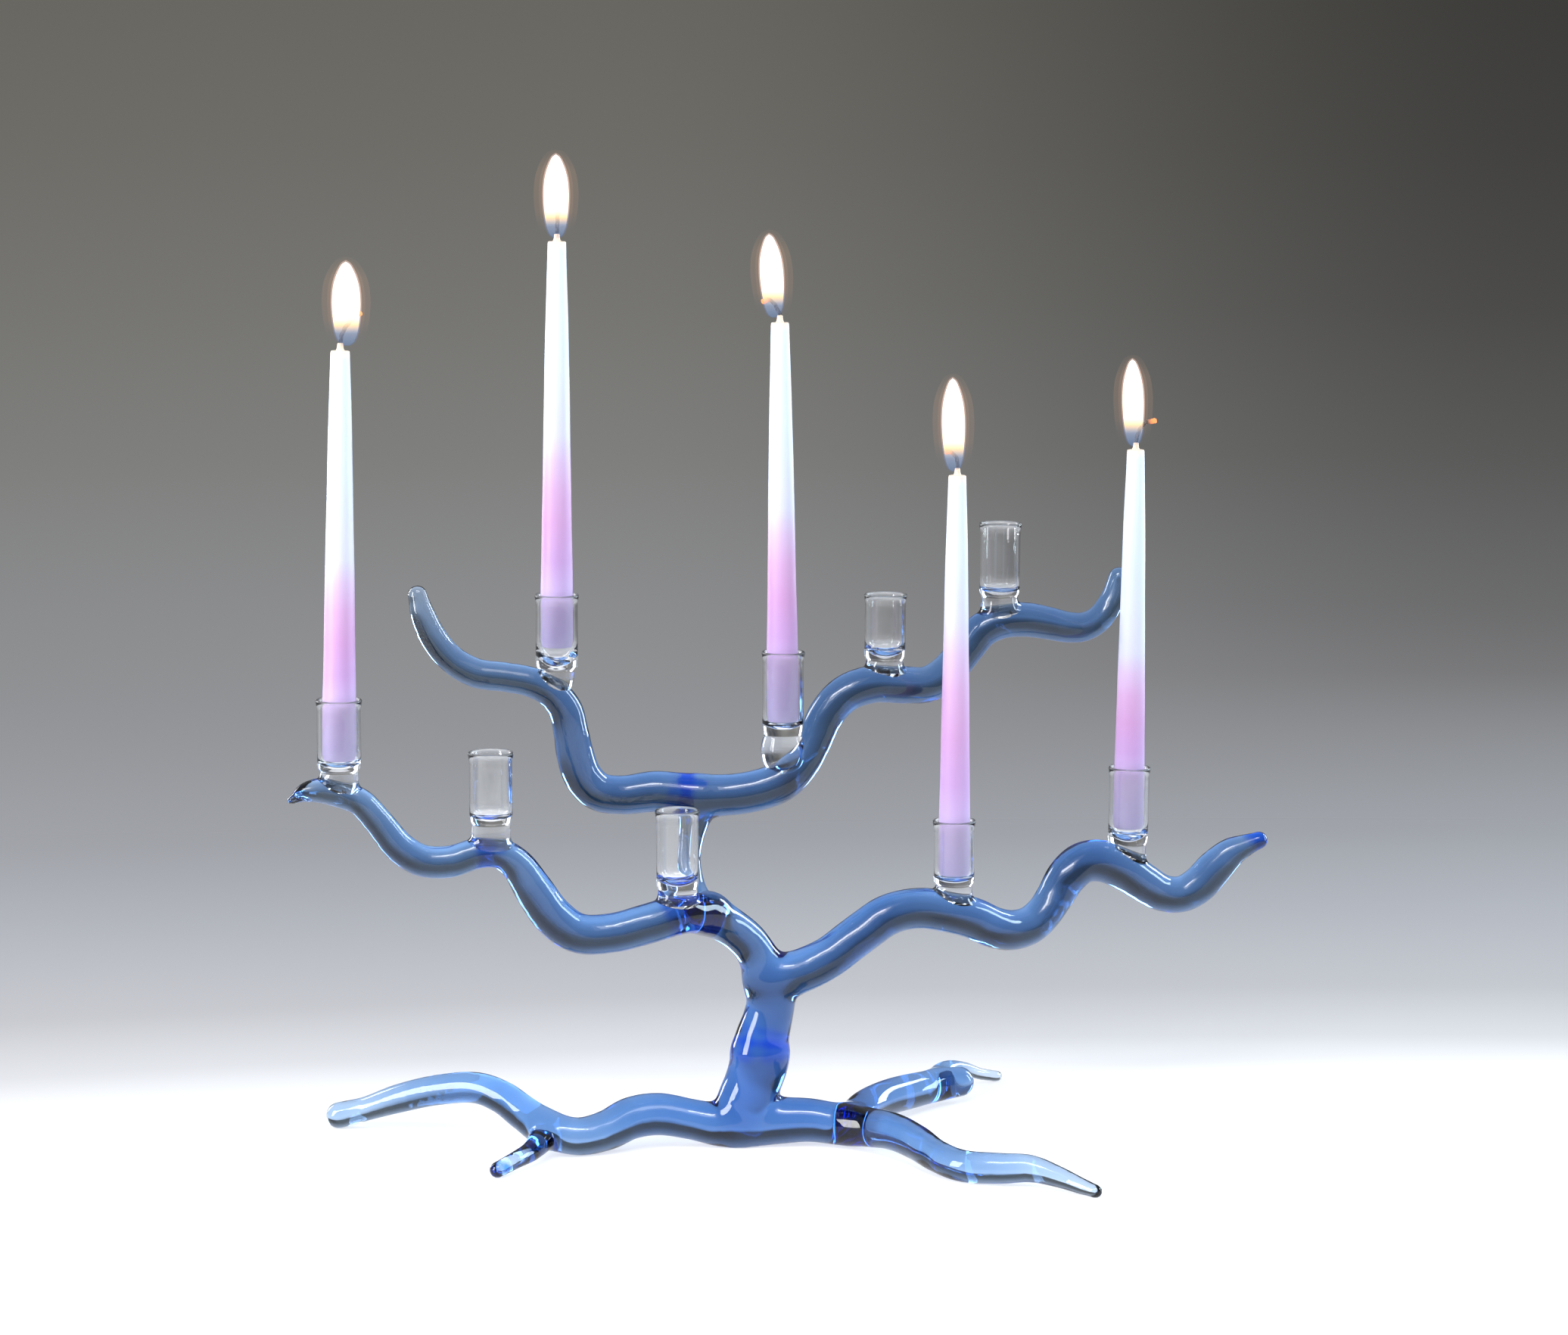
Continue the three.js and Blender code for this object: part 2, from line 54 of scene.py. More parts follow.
# ------------------------------------------------------------------ routes of the rods
# x, y, z, diameter at each bend, from the weld outwards.
ROOTS = [
    (-143, 21.5, 4.3, 9.0), (-134, 19.5, 7.0, 8.4), (-122, 16, 11.6, 9.9), (-108, 11.5, 15.8, 10.4),
    (-94, 6, 17.9, 10.7), (-85, 1, 15.8, 11.2), (-77.5, -5, 12.0, 11.8), (-70, -10.5, 8.6, 12.2),
    (-59, -13, 6.1, 12.7), (-49.5, -9.5, 7.2, 13.5), (-41, -4.5, 10.2, 14.3), (-32, -2, 10.9, 14.3),
    (-21, -1.5, 9.0, 13.7), (-11, -1.5, 7.0, 14.2), (-1, -0.3, 6.8, 14.8), (9, 0, 8.0, 15.6),
    (19, 0, 8.3, 14.8), (29, -2, 7.4, 13.8), (39, -7.5, 7.8, 13.2), (47, -15, 8.4, 12.6),
    (55, -26, 7.4, 11.6), (61, -36, 5.8, 10.7), (69, -45, 4.9, 10.5), (81, -49.5, 5.3, 10.1),
    (91, -51, 5.6, 9.0), (100, -56, 4.2, 6.9), (106.5, -61, 2.8, 5.4), (111, -65, 2.1, 4.4),
]
LEFT_TOE = [
    (-70, -9, 8.4, 8.8), (-70.5, -18, 6.6, 8.4), (-73.7, -28, 5.0, 6.8), (-78, -35, 4.1, 5.8),
    (-83.5, -41.5, 2.65, 5.3),
]
BACK_ROOT = [
    (34, -1, 8.0, 12), (37, 12, 8.4, 12), (41.5, 23, 8.2, 12.2), (48.5, 34, 7.9, 12.4),
    (56, 43.5, 7.3, 12.2), (64, 51, 7.1, 11.2), (72.5, 56, 7.3, 10.6),
]
BACK_TOE = [
    (64, 53, 7.8, 7.2), (66, 63, 8.5, 6.8), (70, 71, 8.3, 6.0), (76, 77.5, 6.4, 5.0),
    (81.5, 82, 3.6, 4.2), (87.5, 85, 1.95, 3.9),
]
TRUNK = [
    (-4.5, -1, 9, 17.5), (-2.5, 0, 15, 19.2), (-0.2, 0, 21, 19.2), (1.8, 0, 27, 20),
    (2.6, 0, 32.5, 20.4), (3.4, 0, 37.5, 18.3), (4.9, 0, 43, 16.9), (6.1, 0, 49, 16),
    (5.4, 0, 56, 15), (3.0, -0.7, 63, 13.6), (-1.2, -3, 70.6, 13), (-6.2, -6.8, 76, 12.8),
    (-12, -11.3, 80.6, 12.8), (-15.5, -14.2, 82.6, 12.8),
]
LOWER_LEFT = [
    (-14.5, -14, 83, 13), (-24, -24, 84.5, 13.4), (-34, -29, 82.5, 13.4), (-46, -32, 80, 13.1),
    (-57, -35, 80.6, 13.2), (-65, -38, 87, 13.2), (-71, -41, 96.5, 12.6), (-76, -44, 105, 11),
    (-81.5, -47, 109.5, 10), (-88, -49, 110, 10), (-97, -51, 107.6, 10.4),
    (-106, -53, 108.3, 10.4), (-113, -55.5, 113.3, 10), (-119, -57.5, 121.5, 9.2),
    (-125, -60, 128.8, 8.8), (-131, -61, 131.3, 8.6), (-137, -64.5, 133.2, 8),
    (-141.5, -68, 133, 6), (-145, -70.5, 131.2, 2.8),
]
UPPER = [
    (-110.5, -10, 189, 6.4), (-108.8, -10, 182.5, 8.2), (-105.5, -9.5, 175, 9),
    (-100, -9, 168, 9.3), (-92, -8, 163, 9.8), (-82, -6, 161.2, 9.9), (-73.5, -4.5, 159.3, 10.1),
    (-66.8, -2.5, 155.5, 10.6), (-62.5, -1, 149.5, 11.4), (-60.8, 0, 142, 11.8),
    (-59.5, 1.5, 134, 12.6), (-57, 3.5, 126, 13), (-52, 5.5, 120.6, 13.1), (-44, 8, 119, 13.2),
    (-33, 10, 119.8, 14), (-21, 12, 118.4, 14.1), (-8, 14, 118, 14.1), (2, 15, 119.5, 14),
    (10, 16, 122.5, 13.8), (16.5, 18, 128.5, 12.8), (21, 20, 136, 12.2), (25, 22, 144.4, 12.4),
    (31.5, 25, 151, 12.8), (41, 29, 153.8, 13), (52, 34, 152.8, 12.8), (60, 39, 152.3, 12.5),
    (67, 43.5, 156, 12.2), (73.5, 46.5, 163.3, 12.1), (79.5, 48.5, 170, 12.1),
    (86.5, 50.5, 172.8, 12.1), (95, 53.5, 172.9, 12), (103, 57, 171.2, 11.4),
    (110, 60.5, 169.4, 10.8), (116, 63.5, 169.2, 10.2), (121.5, 66.5, 171.8, 9.4),
    (126, 69, 178, 8.6), (128.5, 70.5, 185.5, 7.4),
]
LOWER_RIGHT = [
    (5, 0, 57, 15.2), (12, 0, 58.6, 15), (18.5, 2, 60.5, 14.8), (26, 4, 64, 14.3),
    (33, 7, 68.7, 14.2), (39, 10, 72.6, 14.2), (45, 12.5, 76.2, 14.1), (51, 15, 77.8, 13.9),
    (58, 17.5, 78, 14), (68, 20.5, 76, 14.3), (76, 24, 73, 14.3), (83, 27, 69.3, 14.2),
    (89.5, 31, 67.5, 13.9), (96, 35, 68.5, 13.2), (101, 38, 72.3, 12.7), (105, 41, 77.5, 13),
    (109, 43.5, 83.6, 14), (114.5, 47, 87.8, 14.5), (121, 50, 88.2, 14.7), (129.5, 53, 84.8, 14.4),
    (137, 55.5, 79.5, 13.7), (144, 58, 75.2, 13), (151, 59.5, 74.4, 12.8), (157, 60.5, 77.4, 13),
    (163, 61, 83.8, 12.6), (168.5, 61, 89, 10.6), (173.5, 61, 91.6, 8), (178, 61, 93.4, 6.2),
]
STEM = [
    (-15, -8, 82, 9), (-19.8, 2, 87.5, 8.7), (-21.6, 7.4, 96, 8), (-20.8, 9.6, 103.5, 8.2),
    (-19.6, 11.2, 110.5, 10.2), (-19, 12, 117, 12.2),
]
RODS = [ROOTS, LEFT_TOE, BACK_ROOT, BACK_TOE, TRUNK, LOWER_LEFT, UPPER, LOWER_RIGHT, STEM]

# ------------------------------------------------------------------ cups and candles
# foot: point on the rod's middle; up: the cup's underside above it; tube: its length;
# bowl: depth of the cavity's rounded bottom; lean: degrees towards +X; plug: foot radius.
HOLDERS = {
    1: dict(foot=(-131.2, -61.2, 131.3), up=6.8, tube=23.9, bowl=3.4, lean=0.5, plug=5.9),
    2: dict(foot=(-84, -48, 110.1), up=8.8, tube=24.0, bowl=2.6, lean=0.2, plug=6.2),
    3: dict(foot=(-24.5, -24.2, 84.5), up=8.2, tube=27.0, bowl=4.6, lean=-0.2, plug=6.4),
    4: dict(foot=(-65.2, -2.7, 156.0), up=6.6, tube=26.0, bowl=8.4, lean=0.4, plug=5.7),
    5: dict(foot=(10.1, 16, 122.4), up=16.2, tube=28.3, bowl=3.4, lean=0.3, plug=6.5, ball=7.4),
    6: dict(foot=(45, 31, 153.4), up=8.0, tube=23.3, bowl=5.0, lean=0.6, plug=6.2),
    7: dict(foot=(85.3, 50.1, 172.4), up=8.6, tube=26.2, bowl=2.4, lean=0.3, plug=6.2),
    8: dict(foot=(68.9, 20.8, 75.9), up=9.0, tube=23.2, bowl=3.0, lean=-0.2, plug=6.1),
    9: dict(foot=(131.2, 53.6, 83.8), up=9.2, tube=28.0, bowl=6.0, lean=0.6, plug=6.3),
}
# tilt: degrees towards +X; sit: height of its foot over the cavity's bottom; wick: [x, z] bends
# over the neck; flame: [x, z] of its base and of its tip, and its width; ember: glow of the tip.
CANDLES = {
    1: dict(tilt=1.1, sit=2.3, length=130.2, wick=[(0, 0), (.6, 2.8), (2.7, 6.2), (6.6, 9.6)],
            flame=((-126.6, 274.3), (-126.4, 300.3), 8.9), ember=1.0, fade=0.485),
    4: dict(tilt=0.5, sit=6.4, length=134.2, wick=[(0, 0), (.1, 2.6), (.2, 5.2), (.2, 7.4)],
            flame=((-64.1, 306.4), (-64.0, 333.4), 8.3), ember=0.25, fade=0.52),
    5: dict(tilt=-0.4, sit=2.4, length=134.8, wick=[(0, 0), (-1.2, 2.6), (-3.2, 4.8), (-6.2, 4.4)],
            flame=((7.4, 279.6), (5.6, 307.0), 7.8), ember=0.9, fade=0.53),
    8: dict(tilt=0.1, sit=2.3, length=137.0, wick=[(0, 0), (-.2, 2.8), (-1.8, 4.9), (-4.4, 5.4)],
            flame=((68.0, 227.7), (67.3, 258.8), 7.7), ember=0.7, fade=0.63),
    9: dict(tilt=0.4, sit=4.4, length=132.8, wick=[(0, 0), (.9, 3.6), (3.2, 6.8), (7, 7.4)],
            flame=((131.6, 233.6), (130.7, 263.3), 7.3), ember=0.8, fade=0.46),
}
OUTER, LIP, BORE, FLOOR = 7.0, 7.55, 6.0, 2.0  # cup radii, and the thickness of its floor
NECK = 2.4  # height of the wax neck over a candle's shoulder
WICK = 1.3  # radius of a wick


# ------------------------------------------------------------------ small helpers
def ramp(x, lo, hi):
    """0 at lo, 1 at hi, smooth between."""
    t = np.clip((np.asarray(x, float) - lo) / (hi - lo), 0, 1)
    return t * t * (3 - 2 * t)


def cubic(x0, x1, x2, x3, d0, d1, d2, t):
    """The non-uniform Catmull-Rom piece from x1 to x2."""
    a = ((x1 - x0) / d0 - (x2 - x0) / (d0 + d1) + (x2 - x1) / d1) * d1
    b = ((x2 - x1) / d1 - (x3 - x1) / (d1 + d2) + (x3 - x2) / d2) * d1
    return x1 + a * t + (3 * (x2 - x1) - 2 * a - b) * t**2 + (2 * (x1 - x2) + a + b) * t**3


TRIES_PER_BEND = 60


def smooth_route(bends, step):
    """Points and radii every step along the smooth line through the bends."""
    p = np.array(bends, float)
    p = np.vstack([2 * p[0] - p[1], p, 2 * p[-1] - p[-2]])
    p[0, 3], p[-1, 3] = p[1, 3], p[-2, 3]
    out = []
    t = np.linspace(0, 1, TRIES_PER_BEND, endpoint=False)[:, None]
    for i in range(1, len(p) - 2):
        q = p[i - 1:i + 3, :3]
        d = np.sqrt(np.linalg.norm(np.diff(q, axis=0), axis=1))
        line = cubic(q[0], q[1], q[2], q[3], d[0], d[1], d[2], t)
        dia = cubic(*p[i - 1:i + 3, 3], 1, 1, 1, t)
        out.append(np.hstack([line, dia / 2]))
    out = np.vstack(out + [[*p[-2, :3], p[-2, 3] / 2]])
    run = np.concatenate([[0], np.cumsum(np.linalg.norm(np.diff(out[:, :3], axis=0), axis=1))])
    even = np.linspace(0, run[-1], max(4, int(run[-1] / step) + 1))
    return np.stack([np.interp(even, run, out[:, k]) for k in range(4)], axis=1)


BATCH = 20000  # points measured in one go, to save memory


class Rods:
    """Distance of points to the fused rods' surface and the way out, with fillets at the welds."""

    def __init__(self, routes, step=0.5, soft=1.5):
        self.soft = soft
        self.lines = []
        for bends in routes:
            s = smooth_route(bends, step)
            along = np.gradient(s[:, :3], axis=0)
            gap = np.linalg.norm(along, axis=1)
            self.lines.append((s[:, :3], s[:, 3], along / gap[:, None], gap,
                               np.gradient(s[:, 3]) / gap))

    def near(self, centre, reach):
        """The same field, with only the samples near one point."""
        part = Rods([], soft=self.soft)
        for line in self.lines:
            keep = np.linalg.norm(line[0] - centre, axis=1) < reach
            if keep.any():
                part.lines.append(tuple(a[keep] for a in line))
        return part

    def __call__(self, p):
        gaps, ways = [], []
        for q, r, t, gap, slope in self.lines:
            d, away = np.empty(len(p)), np.empty_like(p)
            for i in range(0, len(p), BATCH):
                c = p[i:i + BATCH]
                k = np.argmin((q * q).sum(1)[None] - 2 * c @ q.T, axis=1)
                s = np.clip(((c - q[k]) * t[k]).sum(1), -gap[k] / 2, gap[k] / 2)
                v = c - q[k] - t[k] * s[:, None]
                n = np.linalg.norm(v, axis=1) + 1e-9
                d[i:i + BATCH] = n - r[k] - slope[k] * s
                away[i:i + BATCH] = v / n[:, None]
            gaps.append(d)
            ways.append(away)
        gaps = np.array(gaps)
        low = gaps.min(0)
        w = np.exp(-(gaps - low) / self.soft)
        total = w.sum(0)
        n = (np.array(ways) * (w / total)[:, :, None]).sum(0)
        return low - self.soft * np.log(total), n


def corners(mesh):
    co = np.empty(len(mesh.vertices) * 3)
    mesh.vertices.foreach_get("co", co)
    return co.reshape(-1, 3)


def set_corners(mesh, co):
    mesh.vertices.foreach_set("co", np.ascontiguousarray(co, dtype=np.float32).ravel())
    mesh.update()


def mark(mesh, name, values):
    """Stores one number at each vertex, for a material to read."""
    numbers = mesh.attributes.new(name, "FLOAT", "POINT")
    numbers.data.foreach_set("value", np.asarray(values, np.float32))


def pour(part, into):
    """Adds one bmesh to another and frees it."""
    loose = bpy.data.meshes.new("loose")
    part.to_mesh(loose)
    part.free()
    into.from_mesh(loose)
    bpy.data.meshes.remove(loose)


def piece(bm, name, material, sharp=None):
    """A finished mesh object at the origin, smooth shaded."""
    bmesh.ops.remove_doubles(bm, verts=bm.verts, dist=1e-7)
    bmesh.ops.recalc_face_normals(bm, faces=bm.faces)
    mesh = bpy.data.meshes.new(name)
    bm.to_mesh(mesh)
    bm.free()
    mesh.materials.append(material)
    mesh.shade_smooth()
    if sharp:
        mesh.set_sharp_from_angle(angle=math.radians(sharp))
    obj = bpy.data.objects.new(name, mesh)
    scene.collection.objects.link(obj)
    return obj


def turned(profile, steps):
    """A bmesh spun about Z from [radius, height] pairs in millimetres, in metres."""
    bm = bmesh.new()
    verts = [bm.verts.new((r * MM, 0, z * MM)) for r, z in profile]
    edges = [bm.edges.new(pair) for pair in zip(verts, verts[1:])]
    bmesh.ops.spin(bm, geom=verts + edges, cent=(0, 0, 0), axis=(0, 0, 1), dvec=(0, 0, 0),
                   angle=math.tau, steps=steps, use_merge=True, use_duplicate=False)
    bmesh.ops.remove_doubles(bm, verts=bm.verts, dist=1e-6)
    return bm


def along_route(points, radii, sides, twist=0.0, lobes=0, depth=0.0):
    """A bmesh tube through rings set square to a line, closed at both ends. Millimetres in."""
    bm = bmesh.new()
    p = np.asarray(points, float)
    t = np.gradient(p, axis=0)
    t /= np.linalg.norm(t, axis=1)[:, None]
    side = Vector((0, 1, 0)).cross(Vector(t[0])).normalized()
    last = None
    for i, (c, r) in enumerate(zip(p, radii)):
        way = Vector(t[i])
        side = (side - way * side.dot(way)).normalized()
        turn = Matrix((side, way.cross(side), way)).transposed().to_4x4()
        place = Matrix.Translation(Vector(c) * MM) @ turn @ Matrix.Rotation(twist * i, 4, "Z")
        ring = bmesh.ops.create_circle(bm, cap_ends=False, segments=sides, radius=r * MM,
                                       matrix=place)["verts"]
        if lobes:
            for k, v in enumerate(ring):
                swell = 1 + depth * math.cos(math.tau * lobes * k / sides)
                v.co = place.translation + (v.co - place.translation) * swell
        edges = list({e for v in ring for e in v.link_edges})
        if last:
            bmesh.ops.bridge_loops(bm, edges=last + edges)
        else:
            bmesh.ops.contextual_create(bm, geom=edges)
        last = edges
    bmesh.ops.contextual_create(bm, geom=last)
    return bm


# ------------------------------------------------------------------ materials
MIX_SHARE, MIX_A, MIX_B, MIX_RESULT = 0, 6, 7, 2  # colour sockets of a Mix node


class Nodes:
    """Short ways to add nodes to one material."""

    def __init__(self, name):
        self.material = bpy.data.materials.new(name)
        self.material.use_nodes = True
        self.tree = self.material.node_tree
        self.shader = self.tree.nodes["Principled BSDF"]
        self.output = self.tree.nodes["Material Output"]
        self.space = self.add("ShaderNodeTexCoord").outputs["Object"]

    def add(self, kind, **settings):
        node = self.tree.nodes.new(kind)
        for key, value in settings.items():
            setattr(node, key, value)
        return node

    def link(self, a, b):
        self.tree.links.new(a, b)

    def set(self, **values):
        for key, value in values.items():
            self.shader.inputs[key.replace("_", " ")].default_value = value

    def noise(self, scale, detail=3, stretch=(1, 1, 1)):
        place = self.add("ShaderNodeMapping")
        place.inputs["Scale"].default_value = stretch
        self.link(self.space, place.inputs["Vector"])
        n = self.add("ShaderNodeTexNoise")
        n.inputs["Scale"].default_value = scale
        n.inputs["Detail"].default_value = detail
        self.link(place.outputs["Vector"], n.inputs["Vector"])
        return n.outputs["Fac"]

    def spread(self, value, low, high, to_low=0.0, to_high=1.0):
        n = self.add("ShaderNodeMapRange")
        limits = (("From Min", low), ("From Max", high), ("To Min", to_low), ("To Max", to_high))
        for key, x in limits:
            n.inputs[key].default_value = x
        self.link(value, n.inputs["Value"])
        return n.outputs["Result"]

    def maths(self, how, a, b=0.0):
        n = self.add("ShaderNodeMath", operation=how)
        for socket, value in zip(n.inputs, (a, b)):
            if isinstance(value, bpy.types.NodeSocket):
                self.link(value, socket)
            else:
                socket.default_value = value
        return n.outputs[0]

    def colours(self, value, stops):
        n = self.add("ShaderNodeValToRGB")
        elements = n.color_ramp.elements
        while len(elements) < len(stops):
            elements.new(0.5)
        for e, (at, colour) in zip(elements, stops):
            e.position = at
            e.color = (*colour, 1)
        self.link(value, n.inputs["Fac"])
        return n.outputs["Color"]

    def mix(self, share, a, b, how="MIX"):
        n = self.add("ShaderNodeMix", data_type="RGBA", blend_type=how)
        for at, value in ((MIX_SHARE, share), (MIX_A, a), (MIX_B, b)):
            socket = n.inputs[at]
            if isinstance(value, bpy.types.NodeSocket):
                self.link(value, socket)
            elif isinstance(value, (int, float)):
                socket.default_value = value
            else:
                socket.default_value = (*value, 1)
        return n.outputs[MIX_RESULT]

    def marked(self, name):
        return self.add("ShaderNodeAttribute", attribute_name=name).outputs["Fac"]

    def bump(self, height, strength, distance):
        n = self.add("ShaderNodeBump")
        n.inputs["Strength"].default_value = strength
        n.inputs["Distance"].default_value = distance
        self.link(height, n.inputs["Height"])
        self.link(n.outputs["Normal"], self.shader.inputs["Normal"])


GLASS_BEND = 1.47  # refractive index of borosilicate glass
WAX_BEND = 1.44


def blue_glass():
    """Tinted glass: soft clouds, with a tint laid over them at each marked patch. The pale mark
    also holds a painted reflection of the bright floor on the rods' lower side.
    """
    m = Nodes("blue glass")
    m.set(Roughness=0.02, IOR=GLASS_BEND, Transmission_Weight=1.0)
    tint = m.colours(m.noise(38, 3), [
        (0.33, (0.33, 0.51, 0.77)), (0.5, (0.45, 0.62, 0.84)), (0.68, (0.56, 0.71, 0.90))])
    # pale: glass pulled thin and pale at the ends, plus a painted reflection of the floor on the
    # rods' lower side
    for name, colour in (("pale", (0.95, 0.97, 1.0)), ("cobalt", (0.02, 0.19, 0.98)),
                         ("deep", (0.16, 0.36, 0.70)), ("smoke", (0.36, 0.30, 0.33))):
        tint = m.mix(m.marked(name), tint, colour)
    m.link(tint, m.shader.inputs["Base Color"])
    m.bump(m.noise(42, 2), 0.16, 0.0006)
    depth = m.add("ShaderNodeVolumeAbsorption")
    depth.inputs["Color"].default_value = (0.15, 0.48, 0.80, 1)
    depth.inputs["Density"].default_value = 115
    m.link(depth.outputs["Volume"], m.output.inputs["Volume"])
    return m.material


def clear_glass():
    """Colourless glass that turns matt where the lip is marked."""
    m = Nodes("clear glass")
    m.set(Roughness=0.01, IOR=GLASS_BEND, Transmission_Weight=1.0)
    m.link(m.colours(m.noise(90, 2), [(0.3, (0.99, 0.995, 0.995)), (0.7, (1, 1, 1))]),
           m.shader.inputs["Base Color"])
    m.link(m.spread(m.marked("lip"), 0.0, 1.0, 0.01, 0.42), m.shader.inputs["Roughness"])
    m.bump(m.noise(120, 2, (1, 1, 0.35)), 0.12, 0.0004)
    return m.material


def wax():
    """Wax dipped in lavender, pink and white, tinted by the height marked as rise; at the neck
    under the flame the flame's orange glow is painted into the colour.
    """
    m = Nodes("dipped wax")
    m.set(Roughness=0.42, IOR=WAX_BEND, Subsurface_Weight=0.25, Subsurface_Scale=0.004)
    m.shader.inputs["Subsurface Radius"].default_value = (1.0, 0.8, 0.9)
    rise = m.marked("rise")
    dips_and_painted_flame_glow = m.colours(rise, [
        (0.0, (0.43, 0.38, 0.66)), (0.10, (0.48, 0.37, 0.64)), (0.20, (0.45, 0.27, 0.54)),
        (0.30, (0.49, 0.265, 0.51)), (0.40, (0.53, 0.32, 0.55)), (0.48, (0.55, 0.42, 0.62)),
        (0.55, (0.56, 0.57, 0.70)), (0.75, (0.58, 0.66, 0.76)), (0.97, (0.62, 0.70, 0.77)),
        # the last two stops paint the flame's orange glow onto the neck
        (0.985, (0.76, 0.64, 0.52)), (1.0, (0.84, 0.54, 0.36))])
    streaks = m.spread(m.noise(140, 4, (1, 1, 0.12)), 0.3, 0.75, 0.0, 0.10)
    m.link(m.mix(streaks, dips_and_painted_flame_glow, (0.72, 0.66, 0.84)), m.shader.inputs["Base Color"])
    m.link(m.spread(m.noise(260, 3), 0.3, 0.7, 0.34, 0.52), m.shader.inputs["Roughness"])
    m.bump(m.noise(90, 3, (1, 1, 0.3)), 0.3, 0.0005)
    return m.material


def cotton():
    """Sooty yarn that glows where the wick is marked as burnt."""
    m = Nodes("braided cotton wick")
    m.set(Roughness=0.9)
    burnt = m.marked("burnt")
    yarn = m.colours(m.noise(2600, 2, (1, 1, 0.4)), [
        (0.3, (0.02, 0.018, 0.018)), (0.75, (0.13, 0.11, 0.10))])
    m.link(m.mix(burnt, yarn, (0.75, 0.22, 0.05)), m.shader.inputs["Base Color"])
    m.link(m.mix(burnt, (0, 0, 0), (1.0, 0.24, 0.09)), m.shader.inputs["Emission Color"])
    m.shader.inputs["Emission Strength"].default_value = 1.15
    m.bump(m.noise(2200, 2), 0.6, 0.0002)
    return m.material


def flame(name, stops, light, clear):
    """A glowing sheet of flame: its colour and how solid it is change with height."""
    m = Nodes(name)
    m.tree.nodes.remove(m.shader)
    rise = m.marked("rise")
    glow = m.add("ShaderNodeEmission")
    glow.inputs["Strength"].default_value = light
    m.link(m.colours(rise, stops), glow.inputs["Color"])
    thin = m.add("ShaderNodeBsdfTransparent")
    both = m.add("ShaderNodeMixShader")
    m.link(m.colours(rise, [(at, (a, a, a)) for at, a in clear]), both.inputs["Fac"])
    m.link(thin.outputs[0], both.inputs[1])
    m.link(glow.outputs[0], both.inputs[2])
    m.link(both.outputs[0], m.output.inputs["Surface"])
    return m.material


BLUE, CLEAR, WAX, COTTON = blue_glass(), clear_glass(), wax(), cotton()
CORE = flame(
    "flame core",
    [(0, (0.12, 0.24, 0.44)), (0.15, (0.30, 0.36, 0.46)), (0.24, (1.0, 0.66, 0.30)),
     (0.33, (1.0, 0.92, 0.72)), (1.0, (1.0, 0.98, 0.94))],
    2.0, [(0, 0.08), (0.13, 0.14), (0.22, 0.42), (0.31, 0.85), (0.40, 1.0), (1, 1.0)])
EDGE = flame(
    "flame edge",
    [(0, (0.12, 0.26, 0.6)), (0.2, (0.35, 0.45, 0.75)), (0.35, (1.0, 0.66, 0.58)),
     (1.0, (1.0, 0.70, 0.60))],
    1.0, [(0, 0.10), (0.3, 0.22), (0.9, 0.30), (1, 0.2)])
GLOW = flame(
    "flame glow",
    [(0, (0.15, 0.2, 0.4)), (0.3, (0.9, 0.52, 0.32)), (1.0, (1.0, 0.60, 0.38))],
    0.9, [(0, 0.0), (0.3, 0.035), (0.8, 0.045), (1, 0.015)])

# ------------------------------------------------------------------ the fused tree
MELT = 0.0011  # voxel of the rough melt, in metres
PULLS = 5  # times the melt is drawn onto the true surface
STEEPEST = 0.25  # least slope of the field that a pull divides by
TABLE = 0.02  # lowest glass over the table, in millimetres

rods = Rods(RODS)
bm = bmesh.new()
for bends in RODS:
    s = smooth_route(bends, 2.0)
    tube = along_route(s[:, :3], s[:, 3], 20)
    for end in (s[0], s[-1]):
        bmesh.ops.create_uvsphere(tube, u_segments=20, v_segments=12, radius=end[3] * MM,
                                  matrix=Matrix.Translation(Vector(end[:3]) * MM))
    bmesh.ops.recalc_face_normals(tube, faces=tube.faces)
    pour(tube, bm)
rough = piece(bm, "rough_tree", BLUE)
melt = rough.modifiers.new("melt", "REMESH")
melt.mode = "VOXEL"
melt.voxel_size = MELT
melted = rough.evaluated_get(bpy.context.evaluated_depsgraph_get())
tree_mesh = bpy.data.meshes.new_from_object(melted)
bpy.data.objects.remove(rough)
co = corners(tree_mesh) / MM
for _ in range(PULLS):
    d, n = rods(co)
    co -= n * (d / np.maximum((n * n).sum(1), STEEPEST))[:, None]
co[:, 2] = np.maximum(co[:, 2], TABLE)
set_corners(tree_mesh, co * MM)


def patches(points, table):
    """1 inside each patch of the table and 0 outside, with an uneven soft edge between."""
    ripple = np.sin(points * (0.9, 1.3, 1.1) + (0, 2, 1)).sum(1) * 0.45
    away = [np.linalg.norm(points - np.array(centre), axis=1) + ripple for centre, _, _ in table]
    return np.max([1 - ramp(d, inner, outer) for d, (_, inner, outer) in zip(away, table)], axis=0)


# middle of each patch, and the radii where its tint starts to fade and ends
COBALT = [((-22.5, 11.8, 118.5), 7.9, 9.0), ((-86, -49, 110), 5.2, 7.2),
          ((-22, -21, 85), 7, 9.5), ((2.8, 0, 33), 9.5, 12),
          ((-83.5, -41.5, 2.7), 2.6, 4.2), ((178, 61, 93.4), 3.5, 6.5)]
SMOKE = [((38, -4, 8), 7, 10.5), ((-16, -15, 84), 6.6, 10), ((13, 17, 121), 6, 10)]
PALE = [((-150, 22, 5), 12, 55), ((115, -66, 2), 24, 54), ((88, 85, 2), 10, 26),
        ((-148, -72, 131), 4, 20), ((-84, -42, 3), 5, 24), ((-112, -10, 190), 4, 30)]
DEEP = [((8, 0, 22), 20, 55), ((40, -5, 68), 12, 34), ((60, 20, 120), 14, 40)]
cobalt = patches(co, COBALT)
